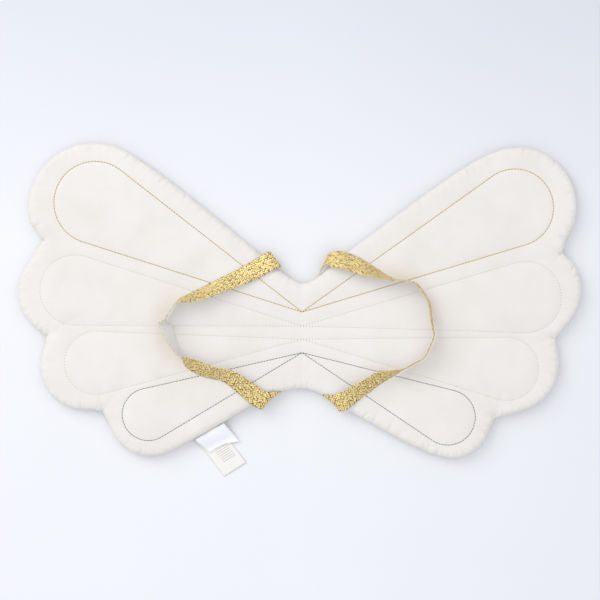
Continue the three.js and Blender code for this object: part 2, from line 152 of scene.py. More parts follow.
# Arm straps from the top seam round to the bottom seam. Each row is one crossing of the elastic:
# [out, y, z] of its outer edge, then of its inner edge. Both ends come out of the edge seam,
# fold over in a slanting crease and lie back over the wing.
STRAPS = {
    "left": [
        ((42.8, 54.1, 7.0), (27.5, 41.1, 7.0)),
        ((40.2, 57.1, 7.2), (24.9, 44.2, 7.2)),
        ((36.8, 62.0, 8.4), (23.2, 46.6, 8.6)),
        ((34.4, 64.0, 11.6), (22.0, 47.6, 11.8)),
        ((37.6, 62.9, 15.3), (25.0, 46.9, 15.0)),
        ((50.0, 55.2, 15.4), (41.0, 38.2, 16.2)),
        ((66.7, 45.5, 15.4), (58.4, 30.0, 18.2)),
        ((88.2, 34.6, 15.6), (80.6, 21.6, 24.0)),
        ((109.7, 23.9, 15.6), (104.3, 12.4, 30.0)),
        ((122.0, 18.0, 15.6), (118.2, 9.8, 33.0)),
        ((130.8, 13.4, 15.6), (129.8, 9.4, 34.8)),
        ((136.4, 6.6, 15.6), (136.2, 5.4, 35.2)),
        ((141.4, -1.8, 15.6), (141.6, -3.6, 35.2)),
        ((145.0, -8.6, 15.6), (146.6, -9.4, 35.0)),
        ((143.8, -12.0, 15.6), (151.0, -12.2, 34.0)),
        ((138.2, -16.4, 15.6), (150.4, -17.2, 31.4)),
        ((136.0, -24.4, 15.6), (146.4, -25.2, 32.4)),
        ((133.6, -32.6, 15.6), (141.6, -33.2, 33.6)),
        ((131.0, -41.0, 15.6), (135.6, -41.8, 34.6)),
        ((129.0, -49.2, 15.6), (128.6, -48.6, 35.2)),
        ((123.8, -60.0, 15.6), (118.6, -49.4, 32.0)),
        ((109.7, -68.4, 15.6), (105.4, -54.6, 29.6)),
        ((96.8, -72.4, 15.8), (91.6, -59.4, 30.2)),
        ((86.0, -74.4, 16.0), (78.5, -61.4, 29.2)),
        ((71.0, -85.2, 16.0), (63.4, -69.0, 25.8)),
        ((56.6, -98.0, 16.0), (48.4, -79.6, 20.4)),
        ((43.5, -105.4, 15.4), (38.7, -85.9, 17.6)),
        ((41.6, -103.8, 11.4), (29.0, -86.2, 15.6)),
        ((40.2, -99.0, 8.2), (23.4, -87.0, 11.4)),
        ((38.7, -92.7, 7.2), (22.0, -84.6, 7.4)),
        ((37.0, -88.6, 7.0), (20.6, -80.9, 7.0)),
    ],
    "right": [
        ((40.5, 51.2, 7.0), (22.5, 37.4, 7.0)),
        ((38.0, 54.4, 7.2), (20.1, 38.8, 7.4)),
        ((32.0, 59.4, 8.6), (18.4, 38.8, 9.0)),
        ((27.8, 59.6, 12.0), (20.2, 43.6, 11.8)),
        ((29.6, 61.8, 15.2), (25.4, 49.2, 15.6)),
        ((35.0, 64.2, 16.2), (32.0, 46.4, 19.8)),
        ((47.0, 62.8, 16.4), (42.4, 45.0, 24.8)),
        ((61.4, 56.6, 16.4), (53.4, 41.4, 26.0)),
        ((77.0, 47.4, 16.2), (68.6, 37.0, 30.4)),
        ((89.4, 39.4, 16.0), (82.6, 34.6, 33.2)),
        ((100.2, 34.2, 15.6), (97.2, 32.2, 34.9)),
        ((112.4, 32.8, 15.6), (110.4, 31.8, 35.2)),
        ((122.2, 30.2, 15.6), (119.4, 29.6, 35.2)),
        ((130.4, 20.6, 15.6), (127.0, 20.0, 35.2)),
        ((137.0, 8.6, 15.6), (133.4, 8.2, 35.2)),
        ((138.8, -3.0, 15.6), (134.8, -3.0, 35.1)),
        ((140.2, -14.0, 15.6), (136.4, -14.0, 35.1)),
        ((141.6, -26.4, 15.6), (138.6, -26.0, 35.2)),
        ((137.4, -38.0, 15.6), (134.6, -37.4, 35.2)),
        ((131.0, -50.0, 15.6), (128.4, -48.8, 35.2)),
        ((119.8, -56.8, 15.6), (117.4, -55.2, 35.2)),
        ((108.6, -62.8, 15.6), (106.4, -60.8, 35.1)),
        ((98.2, -69.6, 15.6), (95.8, -62.2, 34.0)),
        ((87.4, -75.8, 15.6), (82.0, -63.6, 30.6)),
        ((76.2, -83.6, 15.8), (69.6, -70.4, 29.2)),
        ((60.8, -95.0, 16.0), (52.7, -79.8, 26.6)),
        ((47.6, -105.4, 15.6), (41.2, -86.8, 20.0)),
        ((40.6, -107.6, 12.0), (31.6, -90.2, 16.4)),
        ((40.2, -105.0, 8.6), (21.8, -89.4, 11.4)),
        ((43.1, -101.9, 7.2), (20.7, -88.3, 7.4)),
        ((45.1, -98.4, 7.0), (22.5, -84.6, 7.0)),
    ],
}

# Labels, both sewn into the lower left seam: [x, y] of the two corners at the seam, then of the
# two free corners, in order round the label. "start" and "end" are its heights at the seam and at
# the table, "curl" how far its middle lifts and "hollow" how far its free edge bows inwards. The
# white label lies on the care label and goes up with it.
LABELS = {
    "brand_label": {
        "corners": [(-115.2, -138.3), (-84.1, -120.1), (-67.2, -140.6), (-99.4, -153.2)],
        "start": 7.4, "end": 1.4, "curl": 1.1, "hollow": 3.4, "sewn_to": None,
    },
    "care_label": {
        "corners": [(-115.6, -137.6), (-91.6, -122.2), (-60.2, -163.4), (-83.8, -178.6)],
        "start": 6.7, "end": 0.35, "curl": 0.5, "hollow": 0.0, "sewn_to": "left_wing",
    },
}


# ---- lines ----

def curve(start, pull, end, steps=24):
    """A curve from start towards end, drawn towards pull, without its last point."""
    t = np.linspace(0, 1, steps, endpoint=False)[:, None]
    start, pull, end = (np.array(point, float) for point in (start, pull, end))
    return (1 - t) ** 2 * start + 2 * t * (1 - t) * pull + t ** 2 * end


def arc(out, y, r, start, end, steps=40):
    """Points on a circle between two angles in radians."""
    t = np.linspace(start, end, steps)
    return np.stack([out + r * np.cos(t), y + r * np.sin(t)], axis=1)


def distances(points):
    """How far along a line each of its points is."""
    steps = np.linalg.norm(np.diff(points, axis=0), axis=1)
    return np.concatenate([[0], np.cumsum(steps)])


def resample(points, step):
    """Evenly spaced points along a line, about step apart, without the last one."""
    along = distances(points)
    count = round(along[-1] / step)
    places = np.linspace(0, along[-1], count, endpoint=False)
    return np.stack([np.interp(places, along, points[:, k]) for k in (0, 1)], axis=1)


def wing_outline(side):
    """One wing's edge as [x, y], from the centre line's top round to its bottom."""
    shape = OUTLINES[side]
    top, bottom = shape["top"], shape["bottom"]
    rounds = [
        arc(lobe["out"], lobe["y"], lobe["r"], math.radians(lobe["from"]), math.radians(lobe["to"]))
        for lobe in shape["lobes"]
    ]
    parts = [
        curve((0, NOTCH_TOP), top["pull"], top["edge"]),
        curve(top["edge"], top["shoulder"], rounds[0][0]),
        rounds[0],
    ]
    for notch, lobe in zip(shape["notches"], rounds[1:]):
        parts += [np.array([notch]), lobe]
    parts += [
        curve(rounds[-1][-1], bottom["shoulder"], bottom["edge"]),
        curve(bottom["edge"], bottom["pull"], (0, NOTCH_BOTTOM)),
        np.array([(0, NOTCH_BOTTOM)]),
    ]
    return np.vstack(parts) * (SIDES[side], 1)


def notch_points():
    """The notches between the lobes of both wings as [x, y]."""
    return np.array([
        (SIDES[side] * out, y) for side in SIDES for out, y in OUTLINES[side]["notches"]
    ])


def soften(points, corners, rounds=26, keep=2.5, reach=9.0):
    """Smooths a closed line, except close to the corners."""
    apart = np.linalg.norm(points[:, None] - corners[None], axis=2).min(axis=1)
    share = np.clip((apart - keep) / reach, 0, 1)[:, None] * 0.5
    for _ in range(rounds):
        middle = (np.roll(points, 1, axis=0) + np.roll(points, -1, axis=0)) / 2
        points = points + (middle - points) * share
    return points


def inward(points):
    """The inward direction at each point of a clockwise closed line."""
    along = np.roll(points, -1, axis=0) - np.roll(points, 1, axis=0)
    along /= np.linalg.norm(along, axis=1)[:, None]
    return np.stack([along[:, 1], -along[:, 0]], axis=1)


def ripple(along, length, counts, seed):
    """A wavy value between -1 and 1 along a closed line, as the sum of waves that close on it."""
    phases = np.random.default_rng(seed).uniform(0, 2 * math.pi, len(counts))
    waves = [np.sin(2 * math.pi * n * along / length + p) for n, p in zip(counts, phases)]
    return sum(waves) / len(waves)


def teardrop(side, colour):
    """The stitched line of one teardrop as [x, y], from its tip round and back to it."""
    out, y, r = QUILTING[colour][side]
    tip = np.array([0, QUILTING[colour]["tip"]])
    span = math.hypot(out, y - tip[1])
    to_tip = math.atan2(tip[1] - y, -out)
    half = math.acos(r / span)
    bow = arc(out, y, r, to_tip - half, to_tip + half - 2 * math.pi, 60)
    return np.vstack([tip, bow, tip]) * (SIDES[side], 1)


class Lines:
    """Closed lines as evenly spaced points, with a quick search for the nearest place on them."""

    def __init__(self, loops, step):
        self.points = np.vstack([resample(loop, step) for loop in loops])
        self.step = step
        self.length = len(self.points) * step
        self.tree = kdtree.KDTree(len(self.points))
        for i, (x, y) in enumerate(self.points):
            self.tree.insert((x, y, 0), i)
        self.tree.balance()

    def nearest(self, points):
        """How far each point is from the lines, and how far along them the nearest place is."""
        found = [self.tree.find((x, y, 0))[1:] for x, y in points]
        return np.array([d for _, d in found]), np.array([i for i, _ in found]) * self.step


def wings_outline():
    """The whole outline as a clockwise closed line, slightly wavy as a sewn and turned edge is."""
    right, left = wing_outline("right"), wing_outline("left")
    loop = np.vstack([right[:-1], left[::-1]])
    points = soften(resample(loop, OUTLINE_STEP), notch_points())
    along = np.arange(len(points)) * OUTLINE_STEP
    wave = ripple(along, along[-1] + OUTLINE_STEP, (41, 67, 97, 131), seed=3)
    return points + inward(points) * wave[:, None] * EDGE_WAVE


OUTLINE = wings_outline()
EDGE = Lines([np.vstack([OUTLINE, OUTLINE[:1]])], 0.5)
SEWN = Lines([teardrop(side, colour) for side in SIDES for colour in QUILTING], 0.5)


# ---- shape of the padding ----

def quilt_dip(apart):
    """How far the sewn lines pull the covers in, from 1 on the line to 0 far away."""
    return 0.5 * np.exp(-(apart / 1.5) ** 2) + 0.5 * np.exp(-apart / 6.0)


def unevenness(points):
    """Soft, wide hollows and swellings, between about -1 and 1."""
    rng = np.random.default_rng(11)
    total = np.zeros(len(points))
    for _ in range(9):
        heading, wavelength = rng.uniform(0, math.pi), rng.uniform(38, 95)
        across = points @ (math.cos(heading), math.sin(heading))
        total += np.sin(2 * math.pi * across / wavelength + rng.uniform(0, 2 * math.pi))
    return total / 4


def notch_creases(points):
    """Creases that run inwards from each notch, where the seam pulls the cloth together."""
    rng = np.random.default_rng(5)
    directions = inward(OUTLINE)
    total = np.zeros(len(points))
    for notch in notch_points():
        nearest = np.argmin(np.linalg.norm(OUTLINE - notch, axis=1))
        base = math.atan2(directions[nearest][1], directions[nearest][0])
        for turn in (-38, -4, 30):
            heading = base + math.radians(turn + rng.uniform(-8, 8))
            reach, depth = rng.uniform(8, 15), rng.uniform(2.2, 3.4)
            away = points - notch
            along = away @ (math.cos(heading), math.sin(heading))
            aside = away @ (-math.sin(heading), math.cos(heading))
            wide = 1.0 + np.clip(along, 0, 40) * 0.06
            fade = np.where(along > 0, np.exp(-np.clip(along, 0, None) / reach), 0)
            total += depth * fade * np.exp(-(aside / wide) ** 2)
    return total


def seam_creases(edge, along):
    """Fine creases that run inwards from the edge seam, at uneven distances round the wings."""
    rng = np.random.default_rng(23)
    total = np.zeros(len(edge))
    place = 0.0
    while place < EDGE.length:
        reach, wide, depth = rng.uniform(3, 8), rng.uniform(0.9, 1.5), rng.uniform(0.5, 2.4)
        aside = along - place - rng.uniform(-0.5, 0.5) * edge
        total += depth * np.exp(-(aside / wide) ** 2 - edge / reach)
        place += rng.uniform(4, 13)
    return total


def centre_creases(points):
    """The wings' centre fold, and the short upright wrinkles below it."""
    x, y = points.T
    fold = 0.45 * np.exp(-(x / 2.6) ** 2)
    low = 1 / (1 + np.exp((y + 48) / 5))
    wrinkles = sum(
        depth * np.exp(-((x - at - 0.04 * (y + 60)) / wide) ** 2)
        for at, depth, wide in ((-5.5, 0.55, 1.7), (1.5, 0.7, 1.5), (8.0, 0.5, 2.0), (-12.5, 0.3, 2.2))
    )
    return fold + low * wrinkles


def front_rise(points):
    """The front cover's height above the seam's middle."""
    edge, edge_along = EDGE.nearest(points)
    sewn, sewn_along = SEWN.nearest(points)
    rounding = np.sqrt(1 - (1 - np.clip(edge / FRONT_ROUNDING, 0, 1)) ** 2)
    full = MIDDLE - 0.1 - FRONT_SINK * quilt_dip(sewn) + HOLLOWS * unevenness(points)
    gathers = ripple(edge_along, EDGE.length, (67, 113, 167, 241), 7)
    patches = 0.55 + 0.9 * ripple(edge_along, EDGE.length, (7, 11, 16), 8) ** 2
    full += GATHER_DEPTH * gathers * patches * np.exp(-edge / GATHER_REACH)
    puckers = ripple(sewn_along, SEWN.length, (487, 631, 823), 9)
    full += PUCKER_DEPTH * puckers * np.exp(-sewn / 5.0) * np.clip(sewn / 1.5, 0, 1)
    tighter = 1 + RIGHT_PULL * np.clip(points[:, 0] / RIGHT_FADE, 0, 1)
    full -= (notch_creases(points) + seam_creases(edge, edge_along)) * tighter
    full = np.maximum(full - centre_creases(points), CREASE_FLOOR)
    return SEAM_LIP + (full - SEAM_LIP) * rounding


def back_rise(points):
    """The back cover's height away from the seam's middle. It lies flat on the table."""
    edge, edge_along = EDGE.nearest(points)
    sewn, _ = SEWN.nearest(points)
    rounding = np.sqrt(1 - (1 - np.clip(edge / BACK_ROUNDING, 0, 1)) ** 2)
    gathers = ripple(edge_along, EDGE.length, (73, 109, 173, 199), 17)
    full = MIDDLE - BACK_SINK * quilt_dip(sewn) - 0.25 * (1 + gathers) * np.exp(-edge / 8.0)
    full -= 0.6 * notch_creases(points)
    return SEAM_LIP + (full - SEAM_LIP) * rounding


# ---- meshes ----

def make_object(name, points, faces, *materials):
    """A mesh object from points in millimetres."""
    mesh = bpy.data.meshes.new(name)
    mesh.from_pydata((np.asarray(points) * MM).tolist(), [], faces)
    mesh.validate()
    mesh.shade_smooth()
    for material in materials:
        mesh.materials.append(material)
    obj = bpy.data.objects.new(name, mesh)
    bpy.context.scene.collection.objects.link(obj)
    return obj


def apply_modifiers(obj):
    """Replaces the object's mesh by what its modifiers make of it."""
    evaluated = obj.evaluated_get(bpy.context.evaluated_depsgraph_get())
    mesh = bpy.data.meshes.new_from_object(evaluated)
    obj.modifiers.clear()
    obj.data = mesh


def fold_with_wings(obj):
    """Bakes the piece's placement into its mesh. The piece crosses the centre line."""
    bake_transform(obj)


def thin_out(groups, cell=4.0):
    """Keeps each group's points that are at least its spacing away from all kept before them."""
    kept, cells = [], {}
    for points, spacing in groups:
        for x, y in points:
            column, row = int(x // cell), int(y // cell)
            around = (
                other
                for i in (column - 1, column, column + 1)
                for j in (row - 1, row, row + 1)
                for other in cells.get((i, j), ())
            )
            if all((x - a) ** 2 + (y - b) ** 2 >= spacing ** 2 for a, b in around):
                cells.setdefault((column, row), []).append((x, y))
                kept.append((x, y))
    return np.array(kept)


def inside(points, loop):
    """Which points lie inside a closed line."""
    result = np.zeros(len(points), bool)
    for (ax, ay), (bx, by) in zip(loop, np.roll(loop, -1, axis=0)):
        spans = (ay > points[:, 1]) != (by > points[:, 1])
        if ay != by:
            result ^= spans & (points[:, 0] < ax + (points[:, 1] - ay) * (bx - ax) / (by - ay))
    return result


def hex_grid(loop, spacing):
    """Evenly staggered points inside a closed line."""
    low, high = loop.min(axis=0), loop.max(axis=0)
    rows = []
    for i, y in enumerate(np.arange(low[1], high[1], spacing * math.sqrt(3) / 2)):
        x = np.arange(low[0] + (i % 2) * spacing / 2, high[0], spacing)
        rows.append(np.stack([x, np.full(len(x), y)], axis=1))
    points = np.vstack(rows)
    return points[inside(points, loop)]


def fill(loop, groups):
    """A flat mesh inside a closed line. Its first points are the line's own."""
    points = thin_out([(loop, 0.0), *groups])
    count = len(loop)
    edges = [(i, (i + 1) % count) for i in range(count)]
    flat = [Vector(point) for point in points]
    corners, _, faces, origins, _, _ = geometry.delaunay_2d_cdt(flat, edges, [], 1, 1e-5)
    order = [origin[0] if origin else None for origin in origins]
    if None in order or len(corners) != len(points):
        raise ValueError("the outline crosses itself")
    return points, [[order[i] for i in face] for face in faces]


def smooth_out(values, faces, held, rounds):
    """Evens out one value per point over its neighbours in the mesh. The held points stay 0."""
    pairs = np.array([(f[i], f[i - 1]) for f in faces for i in range(len(f))])
    count = np.bincount(pairs.ravel(), minlength=len(values))
    for _ in range(rounds):
        total = np.zeros(len(values))
        np.add.at(total, pairs[:, 0], values[pairs[:, 1]])
        np.add.at(total, pairs[:, 1], values[pairs[:, 0]])
        values = (values + total / count) / 2
        values[held] = 0
    return values


def puff_out(points, faces, held):
    """How far the padding pushes each point of the front cover up and down, by a cloth
    simulation. The held points are sewn down."""
    cloth = make_object("puffing_cloth", points, faces)
    cloth.vertex_groups.new(name="sewn").add(held, 1.0, "REPLACE")
    modifier = cloth.modifiers.new("puff", "CLOTH")
    settings = modifier.settings
    settings.quality = 4
    settings.use_pressure = True
    settings.uniform_pressure_force = PUFF_PRESSURE
    settings.vertex_group_mass = "sewn"
    settings.effector_weights.gravity = 0
    settings.shrink_min = -PUFF_EXCESS
    settings.bending_stiffness = 80
    modifier.collision_settings.use_collision = False
    modifier.point_cache.frame_end = PUFF_STEPS
    for step in range(1, PUFF_STEPS + 1):
        bpy.context.scene.frame_set(step)
    evaluated = cloth.evaluated_get(bpy.context.evaluated_depsgraph_get())
    places = np.empty(3 * len(points))
    evaluated.data.vertices.foreach_get("co", places)
    bpy.data.objects.remove(cloth)
    bpy.context.scene.frame_set(1)
    return places.reshape(-1, 3)[:, 2] / MM - points[:, 2]


def puffed_front(flat, faces):
    """The front cover's points, pressed out between the sewn lines and puckered beside them."""
    points = np.column_stack([flat, MIDDLE + front_rise(flat)])
    sewn, _ = SEWN.nearest(flat)
    held = [i for i in range(len(flat)) if i < len(OUTLINE) or sewn[i] < 0.3]
    puff = smooth_out(puff_out(points, faces, held), faces, held, PUFF_SMOOTHING)
    points[:, 2] += np.clip(puff * PUFF_SHARE, *PUFF_RANGE)
    points[:, 2] = np.minimum(points[:, 2], THICKNESS + PUFF_TOP)
    return points


def cover_layout():
    """The covers' flat mesh: fine along the edge and beside the sewn lines."""
    directions = inward(OUTLINE)
    groups = []
    for inset in (0.3, 0.9, 1.8, 3.0, 4.6, 6.8):
        ring = OUTLINE + directions * inset
        apart, _ = EDGE.nearest(ring)
        groups.append((ring[apart > inset * 0.9], min(0.28 + inset * 0.12, 1.2)))
    for offset in (0, 1.6, -1.6, 4.0, -4.0):
        for side in SIDES:
            for colour in QUILTING:
                line = resample(teardrop(side, colour), 2.1)
                ring = line + inward(line) * offset
                ring = ring[inside(ring, OUTLINE)]
                apart, _ = EDGE.nearest(ring)
                groups.append((ring[apart > 3], 1.2))
    grid = hex_grid(OUTLINE, 3.2)
    apart, _ = EDGE.nearest(grid)
    groups.append((grid[apart > 4], 2.0))
    return fill(OUTLINE, groups)


def turn_in_hem(points, faces, facing):
    """A cover's points and faces with its turned-in edge added, as rings inside the outline."""
    count = len(OUTLINE)
    directions = inward(OUTLINE)
    previous = list(range(count))
    for inset, lift in ((0.25, HEM_LIFT + 0.1), (HEM / 2, HEM_LIFT), (HEM, HEM_LIFT)):
        height = np.full(count, MIDDLE + facing * lift)
        current = list(range(len(points), len(points) + count))
        points = np.vstack([points, np.column_stack([OUTLINE + directions * inset, height])])
        for i in range(count):
            j = (i + 1) % count
            quad = (previous[j], previous[i], current[i], current[j])
            faces.append(quad[::-1] if facing > 0 else quad)
        previous = current
    return points, faces


def add_cover(face, flat, flat_faces, material):
    """One cotton cover across both wings, with its edge turned in all round."""
    facing = 1 if face == "front" else -1
    if face == "front":
        points = puffed_front(flat, flat_faces)
    else:
        points = np.column_stack([flat, MIDDLE - back_rise(flat)])
    faces = [tuple(f) if facing > 0 else tuple(reversed(f)) for f in flat_faces]
    points, faces = turn_in_hem(points, faces, facing)
    cover = make_object(f"{face}_cover", points, faces)
    thickness = cover.modifiers.new("cloth", "SOLIDIFY")
    thickness.thickness = CLOTH * MM
    thickness.offset = -1
    apply_modifiers(cover)
    cover.data.materials.append(material)
    fold_with_wings(cover)
    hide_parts(f"{face}_cover_left", f"{face}_cover_right")
    return cover


def add_wadding(material):
    """The padding between the covers, cut out inside the hems."""
    loop = OUTLINE + inward(OUTLINE) * (HEM + WADDING_FRONT_GAP)
    loop = loop[::3]
    flat, faces = fill(loop, [(hex_grid(loop, 7.0), 4.0)])
    count = len(flat)
    above = np.maximum(front_rise(flat) - WADDING_FRONT_GAP, 1)
    below = np.maximum(back_rise(flat) - WADDING_BACK_GAP, 1)
    points = np.vstack([
        np.column_stack([flat, MIDDLE + above]),
        np.column_stack([flat, MIDDLE - below]),
    ])
    faces = faces + [[i + count for i in reversed(face)] for face in faces]
    edge = len(loop)
    for i in range(edge):
        j = (i + 1) % edge
        faces.append((i, j, j + count, i + count))
    wadding = make_object("wadding", points, faces, material)
    fold_with_wings(wadding)
    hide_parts("wadding_left", "wadding_right")


# ---- stitching ----

def on_front(points):
    """The z of points on the front cover, and which way is out of it."""
    return MIDDLE + front_rise(points), 1


def on_back(points):
    """The z of points on the back cover, and which way is out of it."""
    return MIDDLE - back_rise(points), -1


def in_seam(points):
    """The z of points between the hems, and which way the thread bulges there."""
    return np.full(len(points), MIDDLE), 1


def stitch_faces(base, rings, sides):
    """The faces of one stitch: rings of points, numbered from base, closed at both ends."""
    faces = []
    for k in range(rings - 1):
        for turn in range(sides):
            a = base + k * sides + turn
            b = base + k * sides + (turn + 1) % sides
            faces.append((a, a + sides, b + sides, b))
    last = base + (rings - 1) * sides
    faces.append(tuple(base + turn for turn in range(sides)))
    faces.append(tuple(last + turn for turn in reversed(range(sides))))
    return faces


def stitch_mesh(loops, pitch, radius, shown, place):
    """Points and faces of a row of stitches along each closed line. shown is the share of the
    row that shows thread. place gives the z of points on the cloth and which way is out of it."""
    sides = 6
    shares = 0.5 + shown * np.array([-0.5, -0.34, 0.0, 0.34, 0.5])
    lifts = np.array([-0.32, 0.06, 0.16, 0.06, -0.32])
    sizes = np.array([0.45, 0.92, 1.0, 0.92, 0.45])
    points, faces = [], []
    for loop in loops:
        along = distances(loop)
        count = round(along[-1] / pitch)
        places = (np.arange(count)[:, None] + shares) * along[-1] / count
        flat = np.stack([np.interp(places, along, loop[:, k]) for k in (0, 1)], axis=-1)
        z, facing = place(flat.reshape(-1, 2))
        z = z.reshape(count, -1) + facing * lifts
        forward = flat[:, -1] - flat[:, 0]
        forward /= np.linalg.norm(forward, axis=1)[:, None]
        aside = np.stack([-forward[:, 1], forward[:, 0]], axis=1)
        for i in range(count):
            base = len(points)
            for k, size in enumerate(sizes):
                for turn in range(sides):
                    angle = 2 * math.pi * turn / sides
                    across = math.cos(angle) * size * radius
                    points.append((
                        flat[i, k, 0] + aside[i, 0] * across,
                        flat[i, k, 1] + aside[i, 1] * across,
                        z[i, k] + math.sin(angle) * size * radius,
                    ))
            faces += stitch_faces(base, len(sizes), sides)
    return points, faces


def add_quilting(colour, face, radius, shown, material):
    """One colour's rows of quilting stitches on one cover, on both wings."""
    loops = [teardrop(side, colour) for side in SIDES]
    place = on_front if face == "front" else on_back
    points, faces = stitch_mesh(loops, STITCH_PITCH, radius, shown, place)
    if face == "back":
        points = [(x, y, max(z, 0.02)) for x, y, z in points]
    row = make_object(f"{colour}_stitches_{face}", points, faces, material)
    fold_with_wings(row)
    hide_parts(f"{colour}_thread_{face}_left", f"{colour}_thread_{face}_right")


def add_seam_stitches(material):
    """The row that closes the edge seam, hidden between the hems."""
    loop = OUTLINE + inward(OUTLINE) * SEAM_INSET
    closed = np.vstack([loop, loop[:1]])
    points, faces = stitch_mesh([closed], SEAM_PITCH, SEAM_THREAD, SEAM_SHOWN, in_seam)
    row = make_object("seam_stitches", points, faces, material)
    fold_with_wings(row)
    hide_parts("seam_thread_left", "seam_thread_right")


# ---- ribbons ----

def ribbon_border(along_steps, across_steps):
    """The numbers of a grid's points round its border."""
    columns = across_steps + 1
    return [
        *(i * columns for i in range(along_steps)),
        *(along_steps * columns + j for j in range(across_steps)),
        *(i * columns + across_steps for i in range(along_steps, 0, -1)),
        *range(across_steps, 0, -1),
    ]


def ribbon_faces(along_steps, across_steps, turned):
    """The faces of a thin ribbon, whose points are a grid for its outer side and then one for
    its inner side. With them, which of two materials each has: 0, or 1 on the inner side.
    turned is for a grid that runs the other way round."""
    columns = across_steps + 1
    count = columns * (along_steps + 1)
    faces, slots = [], []
    for i in range(along_steps):
        for j in range(across_steps):
            a = i * columns + j
            quad = (a, a + 1, a + columns + 1, a + columns)
            faces += [quad, tuple(k + count for k in reversed(quad))]
            slots += [0, 1]
    border = ribbon_border(along_steps, across_steps)
    for a, b in zip(border, border[1:] + border[:1]):
        faces.append((a, b, b + count, a + count))
        slots.append(0)
    if turned:
        faces = [face[::-1] for face in faces]
    return faces, slots


def add_weave(obj, uv):
    """Lays the same flat coordinates, one pair for each point of a side, on both sides."""
    layer = obj.data.uv_layers.new(name="weave")
    corners = np.empty(len(obj.data.loops), int)
    obj.data.loops.foreach_get("vertex_index", corners)
    layer.data.foreach_set("uv", np.vstack([uv, uv])[corners].ravel())


# ---- straps ----

def smooth_rows(rows, count):
    """Rows of numbers drawn smoothly through the given ones, evenly spaced."""
    rows = np.array(rows, float)
    rows = np.vstack([2 * rows[0] - rows[1], rows, 2 * rows[-1] - rows[-2]])
    gaps = np.linalg.norm(np.diff(rows, axis=0), axis=1)
    knots = np.concatenate([[0], np.cumsum(gaps ** 0.5)])
    fine = []
    for i in range(1, len(rows) - 2):
        t0, t1, t2, t3 = knots[i - 1:i + 3]
        for t in np.linspace(t1, t2, 30, endpoint=i == len(rows) - 3):
            a1 = rows[i - 1] + (rows[i] - rows[i - 1]) * (t - t0) / (t1 - t0)
            a2 = rows[i] + (rows[i + 1] - rows[i]) * (t - t1) / (t2 - t1)
            a3 = rows[i + 1] + (rows[i + 2] - rows[i + 1]) * (t - t2) / (t3 - t2)
            b1 = a1 + (a2 - a1) * (t - t0) / (t2 - t0)
            b2 = a2 + (a3 - a2) * (t - t1) / (t3 - t1)
            fine.append(b1 + (b2 - b1) * (t - t1) / (t2 - t1))
    fine = np.array(fine)
    along = distances(fine)
    places = np.linspace(0, along[-1], count)
    return np.stack([np.interp(places, along, fine[:, k]) for k in range(rows.shape[1])], axis=1)


def strap_points(side, along_steps, across_steps):
    """A strap's points, outer side first, its flat coordinates and its length."""
    rows = np.array([[*outer, *inner] for outer, inner in STRAPS[side]])
    rows[:, [0, 3]] *= SIDES[side]
    fine = smooth_rows(rows, along_steps + 1)
    outer_edge, inner_edge = fine[:, :3], fine[:, 3:]
    across = (inner_edge - outer_edge)[:, None]
    along = distances((outer_edge + inner_edge) / 2)
    share = np.linspace(0, 1, across_steps + 1)
    grid = outer_edge[:, None] + across * share[None, :, None]
    normal = np.cross(np.gradient(grid, axis=0), across) * -SIDES[side]
    normal /= np.linalg.norm(normal, axis=2)[..., None]
    edges = (2 * share - 1) ** 6
    frill = FRILL_HEIGHT * np.sin(2 * math.pi * along / FRILL_PITCH)[:, None] * edges
    grid = grid + normal * frill[..., None]
    half = STRAP_THICKNESS / 2 * (1 - 0.45 * edges)[None, :, None]
    points = np.vstack([(grid + normal * half).reshape(-1, 3), (grid - normal * half).reshape(-1, 3)])
    uv = np.stack(np.broadcast_arrays(share[None] * STRAP_WIDTH, along[:, None]), axis=-1)
    return points, uv.reshape(-1, 2), along[-1]


def add_strap(side, outer_material, inner_material):
    """One arm strap of woven glitter elastic, from seam to seam."""
    along_steps, across_steps = 260, 14
    points, uv, length = strap_points(side, along_steps, across_steps)
    faces, slots = ribbon_faces(along_steps, across_steps, turned=side == "left")
    strap = make_object(f"strap_{side}", points, faces, outer_material, inner_material)
    strap.data.polygons.foreach_set("material_index", slots)
    add_weave(strap, uv)
    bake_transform(strap)
    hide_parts(*(f"strap_{side}_{part}" for part in ("loop", "top_end", "bottom_end")))


# ---- labels ----

def label_points(facts, along_steps, across_steps):
    """A label's points, upper side first, and its flat coordinates, from 0 to 1 each way. It
    leaves the seam, slopes down to the table and lies there."""
    seam_a, seam_b, free_b, free_a = (np.array(corner) for corner in facts["corners"])
    u = np.linspace(0, 1, across_steps + 1)[None, :, None]
    v = np.linspace(0, 1, along_steps + 1)[:, None, None]
    flat = (seam_a * (1 - u) + seam_b * u) * (1 - v) + (free_a * (1 - u) + free_b * u) * v
    length = np.linalg.norm(free_a - seam_a)
    inwards = (seam_a - free_a) / length
    flat = flat + inwards * facts["hollow"] * np.sin(math.pi * u) * v ** 3
    away = np.clip((v[..., 0] * length - LABEL_LEVEL) / LABEL_SLOPE, 0, 1)
    slope = away ** 2 * (3 - 2 * away)
    z = facts["start"] * (1 - slope) + facts["end"] * slope
    bow = np.sin(math.pi * u[..., 0]) * np.sin(math.pi * np.clip(v[..., 0] * 1.1 - 0.1, 0, 1))
    lifted = facts["curl"] * (bow + 0.8 * np.clip(v[..., 0] * 3 - 2, 0, 1) ** 2 * u[..., 0])
    z = z + lifted
    top = np.concatenate([flat, z[..., None]], axis=2).reshape(-1, 3)
    points = np.vstack([top + (0, 0, LABEL_THICKNESS / 2), top - (0, 0, LABEL_THICKNESS / 2)])
    uv = np.stack(np.broadcast_arrays(u[..., 0], v[..., 0]), axis=-1)
    return points, uv.reshape(-1, 2)


